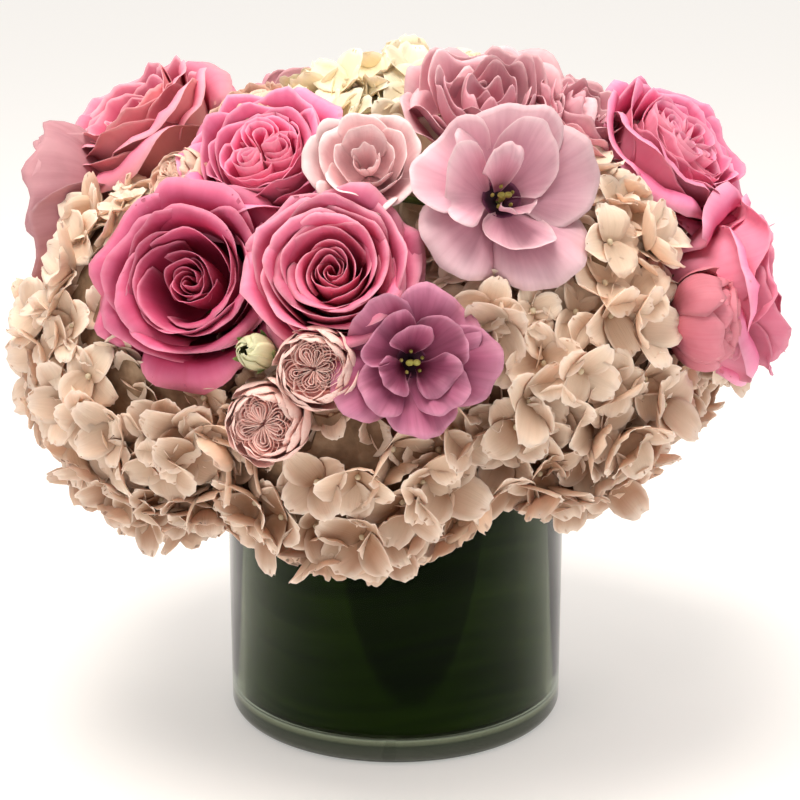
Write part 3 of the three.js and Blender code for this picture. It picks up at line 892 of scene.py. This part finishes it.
def small_ball(parts, centre, radii, tint, rows=9, cols=13):
    """A closed rounded knob as one wrapped sheet pair."""
    up = np.linspace(0.02, math.pi - 0.02, rows)[:, None]
    turn = np.linspace(0, 2 * math.pi, cols)[None, :]
    x = np.sin(up) * np.cos(turn) * radii[0]
    y = np.sin(up) * np.sin(turn) * radii[1]
    ball = np.stack([x, y, -np.cos(up) * radii[2] + 0 * turn], axis=-1) + np.asarray(centre)
    parts.add(ball, 0.0001, 0.5, tint)


def flower_heart(name, seat, way, width, height, lift):
    """The throat, dark in its own colour and in painted shade, a green two-lobed stigma and five small pale
    anthers round it.
    """
    well = Petals()
    share = np.linspace(0, 1, 6)[:, None]
    turn = np.linspace(0, 2 * math.pi, 17)[None, :]
    radius = width * (0.02 + 0.085 * share ** 0.8)
    bottom = height * (lift - 0.02 + 0.11 * share ** 1.6)
    well.add(about_axis(radius, turn, bottom), 0.0004, 0.5, 0.2)
    finish_piece(well.build(name + "_throat", throat_tone_and_shade, stand_on(seat, way)), "lisianthus_petal")
    knobs = Petals()
    foot = height * lift
    for side in (-1, 1):
        small_ball(knobs, (side * 0.0013, 0, foot + 0.0085), (0.0016, 0.0012, 0.0012), 0.7)
    small_ball(knobs, (0, 0, foot + 0.0035), (0.0011, 0.0011, 0.0045), 0.4)
    anthers, anther_ring = 5, 0.0042
    for i in range(anthers):
        angle = 2 * math.pi * i / anthers + 0.4
        centre = (anther_ring * math.cos(angle), anther_ring * math.sin(angle), foot + 0.0055)
        small_ball(knobs, centre, (0.0007, 0.0007, 0.0016), 0.95)
    finish_piece(knobs.build(name + "_stigma", stigma_green, stand_on(seat, way)), "lisianthus_petal")


stigma_green = plant_material(
    "stigma_green",
    [(0.1, (0.16, 0.15, 0.03)), (0.5, (0.36, 0.34, 0.07)), (0.9, (0.62, 0.55, 0.20))],
    0.5, (1.0, 1.0, 1.0), 900.0, 200.0, 0.3)
# The throat's near-black colour is partly painted shade in the flower's hollow.
throat_tone_and_shade = petal_material(
    "throat_tone_and_shade", (0.010, 0.003, 0.008), (0.045, 0.010, 0.028), (0.20, 0.05, 0.12), (0.10, 0.04, 0.06),
    lip_width=3.0, rough=0.6)
lisianthus_pale = petal_material(
    "lisianthus_pale", (0.34, 0.10, 0.17), (0.68, 0.36, 0.45), (0.80, 0.56, 0.61), (0.66, 0.38, 0.45),
    heart=0.12, foot=0.75, lip_width=6.0, veins=0.6)
lisianthus_mauve = petal_material(
    "lisianthus_mauve", (0.54, 0.17, 0.26), (0.77, 0.39, 0.46), (0.85, 0.55, 0.59), (0.70, 0.34, 0.41),
    heart=0.2, foot=0.6, lip_width=6.0, veins=0.7)
lisianthus_dusky = petal_material(
    "lisianthus_dusky", (0.12, 0.010, 0.04), (0.43, 0.11, 0.22), (0.62, 0.26, 0.39), (0.36, 0.10, 0.20),
    heart=0.5, foot=0.9, lip_width=8.0, veins=0.8)
lisianthus_dusty = petal_material(
    "lisianthus_dusty", (0.30, 0.08, 0.12), (0.54, 0.24, 0.29), (0.68, 0.40, 0.43), (0.54, 0.26, 0.30),
    heart=0.2, foot=0.6, lip_width=6.0, veins=0.8)
lisianthus_shell = petal_material(
    "lisianthus_shell", (0.70, 0.36, 0.40), (0.90, 0.61, 0.63), (0.94, 0.74, 0.74), (0.88, 0.62, 0.63),
    heart=0.15, foot=0.5, lip_width=5.0, veins=0.6)
# Whorls of petals: the place of each between inner and outer, and its petals.
bowl_whorls = [(1.0, 5), (0.55, 3), (0.0, 2)]
wavy_whorls = [(1.0, 5), (0.6, 4), (0.25, 3)]
double_whorls = [(1.0, 5), (0.8, 5), (0.6, 4), (0.38, 4), (0.16, 3), (0.0, 2)]
cup_whorls = [(1.0, 5), (0.7, 5), (0.4, 4), (0.0, 3)]
far_whorls = [(1.0, 5), (0.78, 5), (0.5, 4), (0.2, 3)]
# Plant, bloom, width, petal lines, whorls, skin, seed, ruffles and how high its throat shows, if it does.
lisianthuses = [
    ("lisianthus_front", "", 0.058, bowl_lines, wavy_whorls, lisianthus_dusky, 31, 1.6, 0.44),
    ("lisianthus_right", "", 0.074, bowl_lines, bowl_whorls, lisianthus_pale, 32, 1.0, 0.44),
    ("lisianthus_top", "_1", 0.074, double_lines, double_whorls, lisianthus_mauve, 33, 1.4, None),
    ("lisianthus_top", "_2", 0.054, double_lines, double_whorls, lisianthus_mauve, 34, 1.3, None),
    ("lisianthus_top", "_3", 0.045, cup_lines, cup_whorls, lisianthus_shell, 35, 0.9, None),
    ("lisianthus_far_left", "", 0.072, far_lines, far_whorls, lisianthus_dusty, 36, 1.3, 0.38),
    ("lisianthus_back", "_1", 0.074, bowl_lines, bowl_whorls, lisianthus_pale, 37, 1.0, 0.44),
    ("lisianthus_back", "_2", 0.052, double_lines, double_whorls, lisianthus_mauve, 38, 1.3, None),
]
lisianthus_tallness = 0.5
lisianthus_hip, lisianthus_sepal, lisianthus_sepal_droop = 0.0035, 0.018, 0.6
tired_hang = 0.12
for plant, which, width, lines, whorls, skin, seed, ruffles, throat_lift in lisianthuses:
    node, name = plant + "_bloom" + which, plant + which
    seat, way = stem_end(plant, node)
    height = width * lisianthus_tallness
    downward = way.to_track_quat("Z", "Y").inverted() @ Vector((0, 0, -1))
    hang = tired_hang if plant == "lisianthus_far_left" else 0.0
    down = math.atan2(downward.y, downward.x)
    bloom = lisianthus_bloom(lines, whorls, width, height, seed, ruffles, hang, down)
    petals = bloom.build(name + "_petals", skin, stand_on(seat, way))
    finish_piece(petals, "lisianthus_petal", node)
    calyx(name + "_calyx", seat, way, lisianthus_hip, lisianthus_sepal, lisianthus_sepal_droop, seed)
    if throat_lift:
        flower_heart(name, seat, way, width, height, throat_lift)

# Spray roses and the closed bud.
# Small quartered rosettes, several to a branched stem: many folded inner petals in six groups, held in
# a ring of round paler guard petals. One green-white bud is still shut.

spray_petal_thickness = 0.0004


def quartered_rosette(width, height, seed, guard_height):
    """Round guard petals whose lips bend in over a heart of folded groups."""
    chance = random.Random(seed)
    bloom = Petals()
    half = width / 2
    turn_by = chance.uniform(0, 6.28)
    guard_half_angle = math.radians(34)
    guard_rings = [
        (1.0, 6, (0.10, 0.05, 0.90, 0.04, 1.14, 0.66, 0.90, 0.88)),
        (0.92, 6, (0.10, 0.06, 0.82, 0.06, 1.04, 0.82, 0.74, 0.99)),
        (0.84, 7, (0.10, 0.06, 0.66, 0.10, 0.92, 0.92, 0.62, 1.04)),
    ]
    for place, count, line in guard_rings:
        turn_by += math.pi / count + 0.1
        for i in range(count):
            grow = chance.uniform(0.95, 1.03)
            outline = [(line[k] * half * grow, line[k + 1] * height * guard_height) for k in (0, 2, 4, 6)]
            turn = turn_by + 2 * math.pi * i / count + chance.uniform(-0.1, 0.1)
            grid = curved_petal(
                outline, turn, guard_half_angle, rows=9, cols=11, drop=0.24, point=0.0, roll=0.03 * height,
                spiral=half * 0.05, wave=0.02 * height, waves=4.0, phase=chance.uniform(0, 6.28), narrow=0.6,
                nicks=0.012, crumple=0.02 * height)
            bloom.add(grid, spray_petal_thickness, 1 - place, chance.random())
    groups, folds, centre_share, fold_share = 6, 6, 0.38, 0.058
    add_folds(bloom, half, height * 0.97, groups, folds, centre_share, fold_share, chance)
    # A floor sheet closes the heart under the folds; with the fullest heart mark it takes the most deeper
    # colour and painted shade.
    share = np.linspace(0.02, 1, 6)[:, None]
    turn = np.linspace(0, 2 * math.pi, 17)[None, :]
    heart_floor = about_axis(half * 0.74 * share, turn, height * (0.72 + 0.04 * share))
    bloom.add(heart_floor, spray_petal_thickness, 1.0, 0.4)
    return bloom


def shut_bud(width, height, seed):
    """Petals wrapped tight round one another, all but shut at the top."""
    chance = random.Random(seed)
    bloom = Petals()
    half = width / 2
    petals = 9
    for i in range(petals):
        place = i / (petals - 1)
        outline = [
            (0.10 * half, 0.04 * height),
            (0.95 * half, 0.14 * height),
            ((0.90 + 0.06 * place) * half, 0.80 * height),
            ((0.10 + 0.22 * place) * half, (1.0 - 0.06 * place) * height),
        ]
        grid = curved_petal(
            outline, i * golden_angle, math.radians(70), rows=10, cols=11, drop=0.12, point=0.03,
            spiral=half * 0.12, wave=0.01 * height, phase=chance.uniform(0, 6), narrow=0.7)
        bloom.add(grid, spray_petal_thickness, 1 - place, chance.random())
    return bloom


spray_pink = petal_material(
    "spray_pink", (0.68, 0.22, 0.23), (0.90, 0.56, 0.53), (0.92, 0.66, 0.60), (0.90, 0.62, 0.56),
    heart=0.45, foot=0.35, lip_width=7.0, veins=0.4)
spray_coral = petal_material(
    "spray_coral", (0.56, 0.06, 0.13), (0.74, 0.21, 0.29), (0.86, 0.38, 0.43), (0.66, 0.20, 0.26),
    heart=0.6, foot=0.5, lip_width=4.0)
spray_peach = petal_material(
    "spray_peach", (0.62, 0.20, 0.16), (0.80, 0.48, 0.38), (0.88, 0.64, 0.52), (0.84, 0.60, 0.48),
    heart=0.6, foot=0.5, lip_width=4.0)
bud_white = petal_material(
    "bud_white", (0.26, 0.32, 0.10), (0.62, 0.62, 0.36), (0.76, 0.72, 0.50), (0.66, 0.64, 0.40),
    heart=0.2, foot=0.8, lip_width=3.0)
# Plant, bloom, width, skin and seed.
sprays = [
    ("spray_front", "_bloom_1", 0.033, spray_pink, 51),
    ("spray_front", "_bloom_2", 0.033, spray_pink, 52),
    ("spray_front", "_bud", 0.017, bud_white, 53),
    ("spray_right", "_bloom", 0.042, spray_coral, 54),
    ("spray_left", "_bloom_1", 0.040, spray_peach, 55),
    ("spray_left", "_bloom_2", 0.028, spray_peach, 56),
    ("spray_back", "_bloom_1", 0.042, spray_peach, 57),
    ("spray_back", "_bloom_2", 0.038, spray_pink, 58),
]
spray_tallness = 0.72
bud_tallness = 1.3
spray_hip = 0.0034
spray_sepal_droop = 0.45
bud_sepal_droop = 0.05
lower_guards = {"spray_right": 0.84}  # this bloom faces away to the side, and lower guards bare its heart
for plant, which, width, skin, seed in sprays:
    seat, way = stem_end(plant, plant + which)
    name = plant + which.replace("_bloom", "")
    if which == "_bud":
        height = width * bud_tallness
        bloom, slot, droop = shut_bud(width, height, seed), "closed_bud", bud_sepal_droop
    else:
        height = width * spray_tallness
        bloom = quartered_rosette(width, height, seed, lower_guards.get(plant, 1))
        slot, droop = "spray_rose_petal", spray_sepal_droop
    petals = bloom.build(name + "_petals", skin, stand_on(seat, way))
    finish_piece(petals, slot, plant + which)
    calyx(name + "_calyx", seat, way, spray_hip, 0.5 * height, droop, seed)

# Hydrangea heads.
# Rounded mops of four-sepalled florets, cream with a blush, that overlap all over the outside. Each
# floret stands on its own fine stalk, and the stalks meet at the top of one thick stem.


sepal_thickness = 0.0004


def floret_sheets(chance, size):
    """The four cupped sepals of one floret, each a grid, with +Z outwards."""
    sheets = []
    cup = chance.uniform(0.05, 0.70)
    share = np.linspace(0, 1, 6)[:, None]
    across = np.linspace(-1, 1, 7)[None, :]
    for i in range(4):
        length = size * chance.uniform(0.92, 1.08)
        half = length * 0.50 * np.sin(np.clip(share * 0.84 + 0.08, 0, 1) * math.pi) ** 0.5
        notch = 1 - 0.07 * across ** 2 + 0.03 * np.sin(across * 7 + chance.uniform(0, 6))
        x = length * share * notch
        y = half * across
        bend = chance.uniform(-0.15, 0.30)
        crinkle = 0.035 * np.sin(across * 4 + share * 5 + chance.uniform(0, 6)) * share
        z = length * (cup * share ** 1.4 - bend * share ** 3 + 0.8 * (across * half / length) ** 2 + crinkle)
        z = z + length * (0.05 if i % 2 else -0.01)
        twist = chance.uniform(-0.25, 0.25)
        z = z + y * twist * share
        turn = math.pi / 2 * i + chance.uniform(-0.14, 0.14)
        x, y = x * math.cos(turn) - y * math.sin(turn), x * math.sin(turn) + y * math.cos(turn)
        sheets.append(np.stack([x, y, z], axis=-1))
    return sheets


def bloom_tree():
    """All the CAD blooms as one surface to measure distances to."""
    points, faces = [], []
    for node in sorted(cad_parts):
        if "_bloom" in node or node.endswith("_bud"):
            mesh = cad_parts[node].data
            first = len(points)
            points += [corner.co.copy() for corner in mesh.vertices]
            faces += [[first + k for k in face.vertices] for face in mesh.polygons]
    return BVHTree.FromPolygons(points, faces)


blooms_around = bloom_tree()
clear_of_bloom = 0.016  # a floret that stands nearer a bloom than this is smaller and tucked in
deepest_tuck = 0.005
tucked_size = 0.70
least_room = 0.001  # and it is left out when it still comes this near
hydrangea_tallness = 0.6
hydrangea_waist = 0.42  # the share of a head's height under its widest ring
floret_spacing = 0.0127
floret_size = (0.0140, 0.0172)
floret_tilt = 0.50
outer_depth = (0.006, 0.013)
inner_depth = (0.015, 0.020)
lowest_level = -0.72  # no florets grow round the stem
pressed_in = 0.84  # nor where a neighbour has pushed the head in below this share of its reach
stalk_share = 0.80


def head_of_florets(name, seat, way, width, skin, seed):
    """Places florets over the part of the head that its neighbours leave free."""
    chance = random.Random(seed)
    node = name + "_head"
    cad_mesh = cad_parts[node].data
    corners = [corner.co for corner in cad_mesh.vertices]
    skin_tree = BVHTree.FromPolygons(corners, [tuple(face.vertices) for face in cad_mesh.polygons])
    height = width * hydrangea_tallness
    back = height * hydrangea_waist
    centre = seat + way * back
    turn = way.to_track_quat("Z", "Y").to_matrix()
    total = int(4 * math.pi * (width * 0.44) ** 2 / floret_spacing ** 2)
    florets = Petals()
    beads = Petals()
    for i in range(total):
        is_inner = i % 3 == 2
        level = 1 - 2 * (i + 0.5) / total
        round_way = i * golden_angle + chance.uniform(-0.06, 0.06)
        flat = math.sqrt(1 - level * level)
        high = level + chance.uniform(-0.02, 0.02)
        local = Vector((flat * math.cos(round_way), flat * math.sin(round_way), high))
        if local.z < lowest_level:
            continue
        deep = height - back if local.z > 0 else back
        spot = Vector((local.x * width / 2, local.y * width / 2, local.z * deep))
        hit = skin_tree.ray_cast(centre, (turn @ spot).normalized())[0]
        if hit is None or (hit - centre).length < spot.length * pressed_in:
            continue
        normal = Vector((spot.x / (width / 2) ** 2, spot.y / (width / 2) ** 2, spot.z / deep ** 2))
        normal = (turn @ normal.normalized()).normalized()
        tilt = Vector((chance.uniform(-1, 1), chance.uniform(-1, 1), chance.uniform(-1, 1))) * floret_tilt
        facing = (normal + tilt).normalized()
        place = hit - normal * chance.uniform(*(inner_depth if is_inner else outer_depth))
        room = blooms_around.find_nearest(place)[3]
        if room < clear_of_bloom:
            place = place - normal * min(clear_of_bloom - room, deepest_tuck)
        if blooms_around.find_nearest(place)[3] < least_room:
            continue
        stand = stand_on(place, facing) @ Matrix.Rotation(chance.uniform(0, 6.28), 4, "Z")
        stand = np.array(stand)
        tint = chance.random()
        # Painted shade: florets that face sideways and down are darkened more the further they face from up.
        heart = min(1.0, max(0.0, 0.30 - normal.z))
        size = chance.uniform(*floret_size) * (1.0 if room > clear_of_bloom else tucked_size)
        for sheet in floret_sheets(chance, size):
            moved = sheet @ stand[:3, :3].T + stand[:3, 3]
            sepal_tint = min(1, max(0, tint + chance.uniform(-0.15, 0.15)))
            florets.add(moved, sepal_thickness, heart, sepal_tint)
        bead = np.array([0, 0, 0.0012]) @ stand[:3, :3].T + stand[:3, 3]
        small_ball(beads, bead, (0.0014, 0.0014, 0.0014), tint, rows=5, cols=7)
    petals = florets.build(name + "_florets", skin, Matrix.Identity(4))
    finish_piece(petals, "hydrangea_petal", node)
    centres = beads.build(name + "_floret_centres", bead_cream, Matrix.Identity(4))
    finish_piece(centres, "hydrangea_petal")
    core = cad_mesh.copy()
    core.name = name + "_stalks"
    for corner in core.vertices:
        corner.co = centre + (corner.co - centre) * stalk_share
    core.materials.clear()
    core.materials.append(stalks_and_gap_shade)
    finish_piece(add_thing(name + "_stalks", core), "hydrangea_petal")


# The stalks are coloured a dark warm tan, partly painted shade, so that gaps between florets read as
# shadowed petals.
stalks_and_gap_shade = plant_material(
    "floret_stalks",
    [(0.1, (0.07, 0.04, 0.022)), (0.5, (0.26, 0.165, 0.10)), (0.9, (0.48, 0.345, 0.23))],
    0.8, (1.0, 1.0, 1.0), 260.0, 90.0, 1.0)
bead_cream = plant_material(
    "floret_bead",
    [(0.1, (0.42, 0.34, 0.20)), (0.5, (0.62, 0.52, 0.36)), (0.9, (0.74, 0.66, 0.50))],
    0.6, (1.0, 1.0, 1.0), 700.0, 200.0, 0.2)
hydrangea_blush = petal_material(
    "hydrangea_blush", (0.36, 0.20, 0.12), (0.95, 0.735, 0.58), (0.97, 0.78, 0.66), (0.82, 0.57, 0.42),
    heart=0.8, foot=0.75, lip_width=5.0, veins=0.3, variation=0.16, glow=0.2)
hydrangea_cream = petal_material(
    "hydrangea_cream", (0.78, 0.62, 0.36), (0.93, 0.83, 0.62), (0.94, 0.86, 0.70), (0.86, 0.73, 0.51),
    heart=0.5, foot=0.45, lip_width=5.0, veins=0.45, variation=0.2, glow=0.15)
# Name, width, skin and seed.
hydrangeas = [
    ("hydrangea_front", 0.120, hydrangea_blush, 71),
    ("hydrangea_right", 0.150, hydrangea_blush, 72),
    ("hydrangea_left", 0.162, hydrangea_blush, 73),
    ("hydrangea_back_right", 0.142, hydrangea_blush, 74),
    ("hydrangea_back_left", 0.156, hydrangea_blush, 75),
    ("hydrangea_back", 0.156, hydrangea_blush, 76),
    ("hydrangea_top", 0.142, hydrangea_cream, 77),
]
for name, width, skin, seed in hydrangeas:
    seat, way = stem_end(name, name + "_head")
    head_of_florets(name, seat, way, width, skin, seed)
